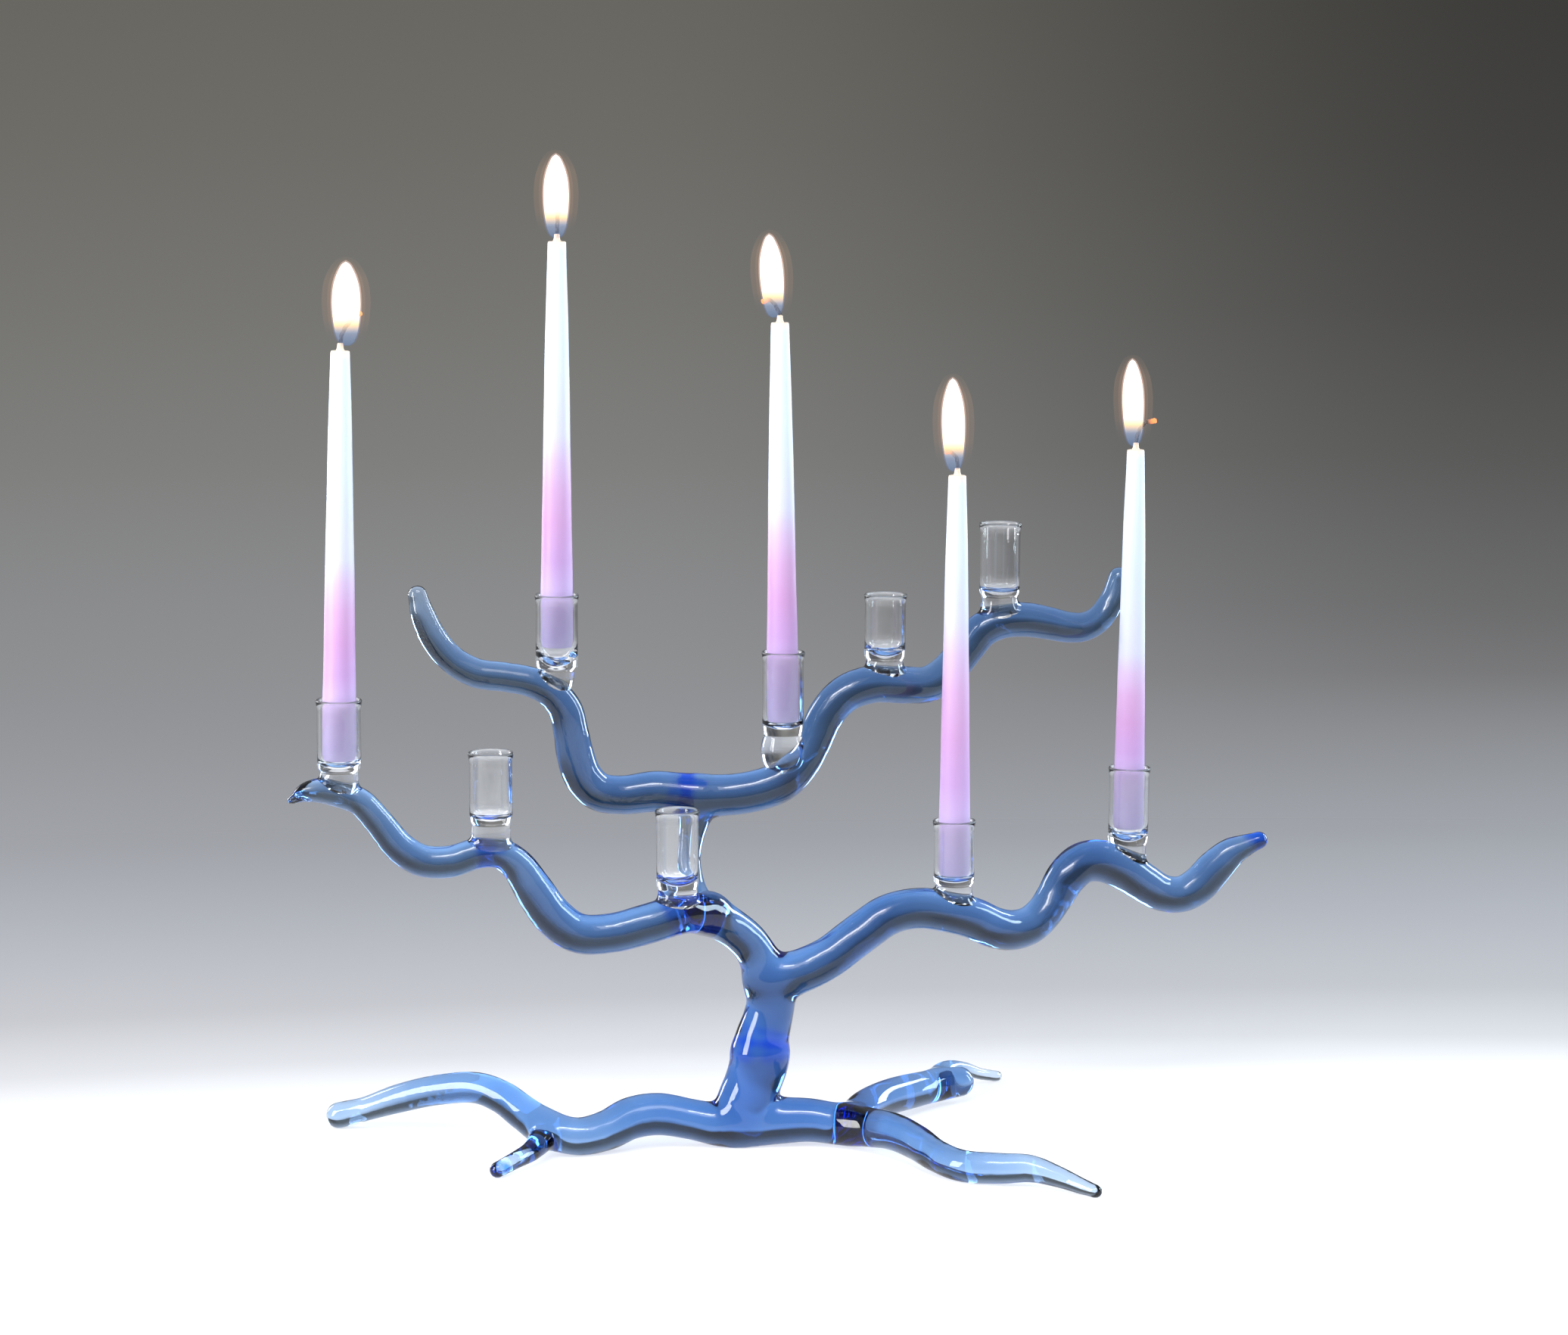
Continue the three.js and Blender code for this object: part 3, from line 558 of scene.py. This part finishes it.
# the rods' lower side near the table is made paler: a painted reflection of the bright floor,
# joined to the pale patches
painted_floor_reflection = 0.9 * (1 - ramp(co[:, 2], 2.0, 8.5))
mark(tree_mesh, "cobalt", cobalt)
mark(tree_mesh, "pale", np.maximum(patches(co, PALE), painted_floor_reflection))
mark(tree_mesh, "deep", 0.5 * patches(co, DEEP) * (1 - cobalt))
mark(tree_mesh, "smoke", 0.8 * patches(co, SMOKE))
tree_mesh.materials.clear()
tree_mesh.materials.append(BLUE)
tree_mesh.shade_smooth()
tree = bpy.data.objects.new("fused_glass_tree", tree_mesh)
tree_mesh.name = "fused_glass_tree"
scene.collection.objects.link(tree)
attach(tree, "tree")
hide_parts(*[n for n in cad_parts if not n.startswith(("cup", "candle", "wick"))])


# ------------------------------------------------------------------ the clear cups
def place_of(foot, lean):
    return Matrix.Translation(Vector(foot)) @ Matrix.Rotation(math.radians(lean), 4, "Y")


def shift(mesh_or_bm, place):
    """Puts a mesh that was made on the axis into its place. The place is in millimetres."""
    m = place.copy()
    m.translation *= MM
    mesh_or_bm.transform(m)


RINGS, EDGE_RING, COLUMNS = 44, 26, 72  # EDGE_RING lies where a foot runs out onto its rod
TOLERANCE = 1e-4
FOOT_BLEND, FOOT_POWER = 1.1, 3  # softness of the fillet, and how square the foot's wall is
FILLET, CUT = 0.35, 0.22  # how far outside the rod the fillet is drawn, and the foot is cut
STRIDE, STRIDES = 0.8, 36  # share of the gap crossed in each step of the march, and its steps


def foot_surface(field, turn, origin, middle, base):
    """Makes a march from the foot's middle to its own wall, to the rod, or to the nearer one."""
    depth = middle - 0.5

    def reach(rays, which):
        far = np.full(len(rays), 0.5)
        for _ in range(STRIDES):
            q = rays * far[:, None] + (0, 0, middle)
            d_rod = field(q @ turn.T + origin)[0]
            radial = np.hypot(q[:, 0], q[:, 1])
            fall = np.clip((middle - q[:, 2]) / depth, 0, 3) ** FOOT_POWER
            d_foot = base * (np.hypot(radial / base, fall) - 1)
            flow = -FOOT_BLEND * np.log(np.exp(-d_foot / FOOT_BLEND)
                                        + np.exp(-(d_rod + FILLET) / FOOT_BLEND))
            cut = -(d_rod + CUT)
            gap = {"wall": flow, "rod": cut, "both": np.maximum(flow, cut)}[which]
            far = np.clip(far - STRIDE * gap, 0.2, base + 5)
        return far

    return reach


def rays_down(turns, angles):
    """Directions at these turns about the cup's axis and angles below the level."""
    return np.stack([np.cos(turns) * np.cos(angles), np.sin(turns) * np.cos(angles),
                     -np.sin(angles)], -1)


def holder(n, h):
    """A clear cup with its solid foot. The foot flows onto the rod in a soft fillet."""
    up, top, bowl, base = h["up"], h["up"] + h["tube"], h["bowl"], h["plug"]
    deep = up + FLOOR
    inner = [(BORE * math.sin(a), deep + bowl * (1 - math.cos(a)))
             for a in np.linspace(0, math.pi / 2, 14)]
    wall = [(BORE, z) for z in np.linspace(deep + bowl, top - 3.6, 6)[1:]]
    lip = [(BORE + 0.04, top - 2.8), (BORE + 0.14, top - 1.9), (BORE + 0.34, top - 1.0),
           (BORE + 0.56, top - 0.42), (BORE + 0.72, top - 0.12), (BORE + 0.86, top - 0.02),
           (BORE + 0.98, top), (BORE + 1.12, top - 0.06), (LIP - 0.28, top - 0.22),
           (LIP - 0.2, top - 0.46), (LIP - 0.24, top - 1.0), (LIP - 0.38, top - 1.9),
           (OUTER + 0.05, top - 3.0)]
    outer = [(OUTER, z) for z in np.linspace(top - 4.5, up + 3.6, 6)]
    middle = up + 0.6
    if "ball" in h:
        middle = up - 6.6
        outer += [(OUTER - 0.05, up + 2.2), (OUTER - 0.25, up + 1.0), (base + 0.05, up + 0.2),
                  (base - 0.1, up - 0.4), (base + 0.1, up - 1.1), (base + 0.42, up - 2.0),
                  (h["ball"] - 0.2, up - 3.4), (h["ball"], up - 5.0)]
        base = h["ball"]
    else:
        outer += [(OUTER - 0.05, up + 2.6), (OUTER - 0.22, up + 1.8), (base + 0.2, up + 1.2)]
    angles = np.linspace(0, math.pi / 2, RINGS)
    low = [(base * math.cos(a), middle - base * math.sin(a)) for a in angles]
    low[-1] = (0, low[-1][1])
    inner[0] = (0, inner[0][1])
    bm = turned(inner + wall + lip + outer + low, COLUMNS)
    bmesh.ops.recalc_face_normals(bm, faces=bm.faces)
    place = place_of(h["foot"], h["lean"])
    if "ball" not in h:
        local = np.array([v.co for v in bm.verts]) / MM
        flat = np.hypot(local[:, 0], local[:, 1])
        under = (local[:, 2] < middle + TOLERANCE) & (flat < base + TOLERANCE)
        round_axis = np.arctan2(local[under, 1], local[under, 0]) / math.tau
        column = np.round(round_axis * COLUMNS).astype(int) % COLUMNS
        ring = np.round(np.arctan2(middle - local[under, 2], flat[under]) / angles[1]).astype(int)
        reach = foot_surface(rods.near(np.array(place.translation), 40), np.array(place.to_3x3()),
                             np.array(place.translation), middle, base)
        # where the foot's wall runs out onto the rod, all the way round
        turns = np.arange(COLUMNS) * math.tau / COLUMNS
        tries = np.linspace(0.02, 1.5, 60)
        grid = rays_down(*np.meshgrid(turns, tries, indexing="ij")).reshape(-1, 3)
        gap = (reach(grid, "wall") - reach(grid, "rod")).reshape(COLUMNS, -1)
        over = np.argmax(gap > 0, axis=1).clip(1)
        rows = np.arange(COLUMNS)
        a, b = gap[rows, over - 1], gap[rows, over]
        share = np.clip(-a / (b - a + 1e-9), 0, 1)
        edge = tries[over - 1] + (tries[over] - tries[over - 1]) * share
        for _ in range(2):
            edge = (np.roll(edge, 1) + 2 * edge + np.roll(edge, -1)) / 4
        e = edge[column]
        down = np.where(ring <= EDGE_RING, e * ring / EDGE_RING,
                        e + (math.pi / 2 - e) * (ring - EDGE_RING) / (RINGS - 1 - EDGE_RING))
        rays = rays_down(column * math.tau / COLUMNS, down)
        local[under] = rays * reach(rays, "both")[:, None] + (0, 0, middle)
        for v, p in zip(bm.verts, local * MM):
            v.co = p
    shift(bm, place)
    obj = piece(bm, f"clear_cup_{n}", CLEAR, 60)
    axis = np.array(place.to_3x3())[:, 2]
    height = (corners(obj.data) / MM - np.array(place.translation)) @ axis
    mark(obj.data, "lip", ramp(height, top - 0.9, top - 0.3))
    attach(obj, "tree")
    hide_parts(f"cup_{n}", f"cup_{n}_foot")
    return place


# share of a flame's width and of its height, at each step up it
FLAME = [(0, wide, high, 1) for wide, high in (
    (0.22, 0), (0.55, 0.05), (0.82, 0.18), (0.96, 0.36), (1.0, 0.52),
    (0.93, 0.68), (0.76, 0.80), (0.52, 0.90), (0.30, 0.965), (0.02, 1))]
# each piece of a flame, its glow, and how far every shell stands out from the core and over it
SHELLS = (("flame_core", CORE, [(0, 0)]), ("flame_edge", EDGE, [(0.45, 0.5)]),
          ("flame_glow", GLOW, [(1.5, 1.0), (3.2, 1.6)]))
# share of a candle's length, and its radius there
TAPER = [(0.00, 5.0), (0.006, 5.3), (0.02, 5.4), (0.14, 5.37), (0.29, 4.98), (0.47, 4.6),
         (0.66, 4.15), (0.81, 3.75), (0.96, 3.15), (0.993, 3.04)]


def teardrop(base, tip, y, width, more, rise):
    """Rings of a flame from its base to its tip, or of a shell of glow round it. Millimetres."""
    s = smooth_route(FLAME, 0.04)
    b = np.array([base[0], y, base[1] - rise * 0.3])
    e = np.array([tip[0], y, tip[1] + rise])
    return b + (e - b) * s[:, 2:3], np.maximum(width / 2 * s[:, 1] + more * np.sqrt(s[:, 1]), 0.03)


for n, h in HOLDERS.items():
    place = holder(n, h)
    if n not in CANDLES:
        continue
    c = CANDLES[n]
    body = f"candle_in_cup_{n}"
    seat = place @ Vector((0, 0, h["up"] + FLOOR + c["sit"]))
    stand = place_of(seat, c["tilt"])
    L = c["length"]
    shape = [(0, 0), (2.5, 0), (4.6, 0.0)]
    shape += [(np.interp(x, *zip(*TAPER)), x * L) for x in np.linspace(0, TAPER[-1][0], 60)]
    shape += [(2.98, L - 0.35), (2.86, L - 0.1), (2.6, L), (1.9, L + 0.02), (1.45, L + 0.1),
              (1.15, L + 0.5), (1.0, L + NECK * 0.5), (0.92, L + NECK - 0.3),
              (0.75, L + NECK), (0, L + NECK)]
    bm = turned(shape, 40)
    for v in bm.verts:
        a, z = math.atan2(v.co.y, v.co.x), v.co.z / MM
        uneven = (1 + 0.006 * math.sin(2 * a + z * 0.11 + n)
                  + 0.004 * math.sin(3 * a - z * 0.23 + 2 * n))
        v.co.x *= uneven
        v.co.y *= uneven
    shift(bm, stand)
    candle = piece(bm, f"taper_candle_{n}", WAX, 50)
    share = (corners(candle.data)[:, 2] / MM - seat[2]) / (L + NECK)
    mark(candle.data, "rise",
         np.interp(share, (0, 0.16, c["fade"], 0.96, 1), (0, 0.14, 0.55, 0.97, 1)))
    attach(candle, body)
    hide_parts(f"candle_{n}")

    line = smooth_route([(x, 0, L + NECK + 0.2 + z, WICK + (0.5 if i > 2 else 0.0))
                         for i, (x, z) in enumerate(c["wick"])], 0.22)
    thick = np.clip(line[:, 3], 0, 2)
    thick[-3:] *= (0.94, 0.78, 0.45)
    bm = along_route(line[:, :3], thick, 18, twist=0.16, lobes=3, depth=0.16)
    shift(bm, stand)
    wick = piece(bm, f"braided_wick_{n}", COTTON, 60)
    tip = stand @ Vector(line[-1, :3].tolist())
    away = np.linalg.norm(corners(wick.data) / MM - np.array(tip), axis=1)
    mark(wick.data, "burnt", c["ember"] * (1 - ramp(away, 1.4, 3.4)))
    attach(wick, body)
    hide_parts(f"wick_{n}")

    base, top, width = c["flame"]
    y = seat[1]
    for name, mat, shells in SHELLS:
        bm = bmesh.new()
        for more, rise in shells:
            pour(along_route(*teardrop(base, top, y, width, more, rise), 32), bm)
        obj = piece(bm, f"{name}_{n}", mat)
        z = corners(obj.data)[:, 2] / MM
        mark(obj.data, "rise", (z - base[1]) / (top[1] - base[1]))
        obj.visible_shadow = False
        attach(obj, body)

# ------------------------------------------------------------------ floor and surroundings
# A pool of light is painted on the floor, in its glow and in its diffuse colour: brightest round
# one point, which is drawn out from left to right, and darker grey further off.
POOL_X, POOL_Y, POOL_SQUEEZE = 0.24, -0.35, 0.5
m = Nodes("floor with painted light pool")
split = m.add("ShaderNodeSeparateXYZ")
m.link(m.space, split.inputs[0])
wide = m.maths("MULTIPLY", m.maths("SUBTRACT", split.outputs["X"], POOL_X), POOL_SQUEEZE)
back = m.maths("SUBTRACT", split.outputs["Y"], POOL_Y)
far = m.maths("SQRT", m.maths("ADD", m.maths("MULTIPLY", wide, wide),
                              m.maths("MULTIPLY", back, back)))
SPAN = 2.5  # distance at which the last tone is reached, in metres
PAINTED_POOL_TONES = [(0.0, (1.08, 1.08, 1.09)), (0.36, (1.08, 1.08, 1.09)), (0.44, (1.0, 1.0, 1.01)),
         (0.465, (0.84, 0.84, 0.86)), (0.505, (0.64, 0.64, 0.66)), (0.59, (0.47, 0.47, 0.49)),
         (0.75, (0.38, 0.385, 0.41)), (0.93, (0.31, 0.315, 0.335)), (1.16, (0.29, 0.295, 0.31)),
         (1.84, (0.25, 0.252, 0.26)), (SPAN, (0.24, 0.24, 0.245))]
painted_pool = m.colours(m.maths("DIVIDE", far, SPAN), [(at / SPAN, tone) for at, tone in PAINTED_POOL_TONES])
glow = m.add("ShaderNodeEmission")
m.link(painted_pool, glow.inputs["Color"])
glow.inputs["Strength"].default_value = 0.6
# the diffuse colour carries the same painted pool of light, darker away from its middle
painted_pool_diffuse = m.add("ShaderNodeBsdfDiffuse")
m.link(m.mix(1.0, painted_pool, (0.42, 0.42, 0.42), "MULTIPLY"), painted_pool_diffuse.inputs["Color"])
lit = m.add("ShaderNodeAddShader")
m.link(glow.outputs[0], lit.inputs[0])
m.link(painted_pool_diffuse.outputs[0], lit.inputs[1])
gone = m.add("ShaderNodeBsdfTransparent")
edge = m.add("ShaderNodeMixShader")
m.link(m.spread(far, 0.75, 1.5), edge.inputs["Fac"])
m.link(lit.outputs[0], edge.inputs[1])
m.link(gone.outputs[0], edge.inputs[2])
m.link(edge.outputs[0], m.output.inputs["Surface"])
bm = bmesh.new()
bmesh.ops.create_circle(bm, cap_ends=True, segments=96, radius=3.5)
floor = piece(bm, "floor", m.material)

world = bpy.data.worlds.new("studio")
scene.world = world
world.use_nodes = True
wt = world.node_tree
look = wt.nodes.new("ShaderNodeTexCoord")
part = wt.nodes.new("ShaderNodeSeparateXYZ")
wt.links.new(look.outputs["Generated"], part.inputs[0])


SKY_LOW, SKY_HIGH = -0.30, 0.70  # heights of the view direction that a ramp spans


def sky(stops):
    """Tones of the surroundings by their angle over the level, in degrees."""
    fit = wt.nodes.new("ShaderNodeMapRange")
    for key, x in (("From Min", SKY_LOW), ("From Max", SKY_HIGH)):
        fit.inputs[key].default_value = x
    wt.links.new(part.outputs["Z"], fit.inputs["Value"])
    r = wt.nodes.new("ShaderNodeValToRGB")
    while len(r.color_ramp.elements) < len(stops):
        r.color_ramp.elements.new(0.5)
    for e, (degrees, colour) in zip(r.color_ramp.elements, stops):
        e.position = min(1.0, max(0.0, math.sin(math.radians(degrees)) - SKY_LOW))
        e.color = (*colour, 1)
    wt.links.new(fit.outputs["Result"], r.inputs["Fac"])
    return r.outputs["Color"]


LEFT_SKY = sky([
    (-16, (0.62, 0.63, 0.66)), (-12.9, (0.45, 0.46, 0.49)), (-11.7, (0.38, 0.39, 0.42)),
    (-10.6, (0.335, 0.34, 0.355)), (-9.4, (0.30, 0.305, 0.32)), (-7.0, (0.26, 0.263, 0.27)),
    (-4.7, (0.212, 0.212, 0.206)), (-2.4, (0.181, 0.179, 0.168)), (0, (0.156, 0.152, 0.138)),
    (2.2, (0.14, 0.136, 0.120)), (10, (0.13, 0.13, 0.125)), (24, (0.34, 0.345, 0.36)),
    (44, (0.52, 0.53, 0.56))])
RIGHT_SKY = sky([
    (-16, (0.72, 0.73, 0.75)), (-12.9, (0.62, 0.63, 0.65)), (-11.7, (0.46, 0.47, 0.49)),
    (-10.6, (0.34, 0.342, 0.352)), (-9.4, (0.25, 0.252, 0.26)), (-7.0, (0.15, 0.151, 0.153)),
    (-4.7, (0.10, 0.10, 0.098)), (-2.4, (0.070, 0.069, 0.066)), (0, (0.054, 0.053, 0.050)),
    (2.2, (0.046, 0.045, 0.042)), (10, (0.08, 0.08, 0.08)), (24, (0.28, 0.285, 0.30)),
    (44, (0.46, 0.47, 0.50))])


def between(axis, low, high):
    """0 below low and 1 above high on one axis of the view direction."""
    n = wt.nodes.new("ShaderNodeMapRange")
    n.interpolation_type = "SMOOTHSTEP"
    n.inputs["From Min"].default_value = low
    n.inputs["From Max"].default_value = high
    wt.links.new(part.outputs[axis], n.inputs["Value"])
    return n.outputs["Result"]


def blend(share, a, b):
    n = wt.nodes.new("ShaderNodeMix")
    n.data_type = "RGBA"
    for at, value in ((MIX_SHARE, share), (MIX_A, a), (MIX_B, b)):
        wt.links.new(value, n.inputs[at])
    return n.outputs[MIX_RESULT]


ROOM = sky([
    (-16, (0.76, 0.77, 0.80)), (-5, (0.42, 0.45, 0.50)), (10, (0.33, 0.36, 0.42)),
    (44, (0.38, 0.41, 0.46))])
backdrop = blend(between("X", -0.06, 0.21), LEFT_SKY, RIGHT_SKY)
surroundings = blend(between("Y", 0.45, 0.85), ROOM, backdrop)
wt.links.new(surroundings, wt.nodes["Background"].inputs["Color"])


def softbox(name, place, aim, size, power, colour=(1, 1, 1)):
    """An area light at a place, turned to its aim. Metres and watts."""
    lamp = bpy.data.lights.new(name, "AREA")
    lamp.shape = "RECTANGLE"
    lamp.size, lamp.size_y = size
    lamp.energy = power
    lamp.color = colour
    obj = bpy.data.objects.new(name, lamp)
    scene.collection.objects.link(obj)
    obj.location = place
    obj.rotation_euler = (Vector(aim) - Vector(place)).to_track_quat("-Z", "Y").to_euler()
    obj.visible_camera = False


softbox("front_top_haze", (0.0, -0.60, 0.90), (0, 0, 0.12), (1.0, 0.62), 1.6)
softbox("front_top_softbox", (0.0, -0.62, 0.92), (0, 0, 0.12), (0.75, 0.32), 3.2)
softbox("front_top_strip", (-0.03, -0.60, 1.00), (0, 0, 0.12), (0.60, 0.12), 3.2)
softbox("left_softbox", (-1.20, -0.69, 0.52), (0, 0, 0.14), (0.50, 0.96), 22.0)
softbox("right_softbox", (1.35, 0.18, 0.50), (0, 0, 0.14), (0.28, 0.96), 12.0, (0.70, 0.88, 1.0))
softbox("left_rim_light", (-1.05, 0.85, 0.50), (0, 0, 0.16), (0.30, 0.90), 8.5)
softbox("right_rim_light", (1.05, 0.92, 0.50), (0, 0, 0.16), (0.30, 0.90), 12.0, (0.80, 0.92, 1.0))
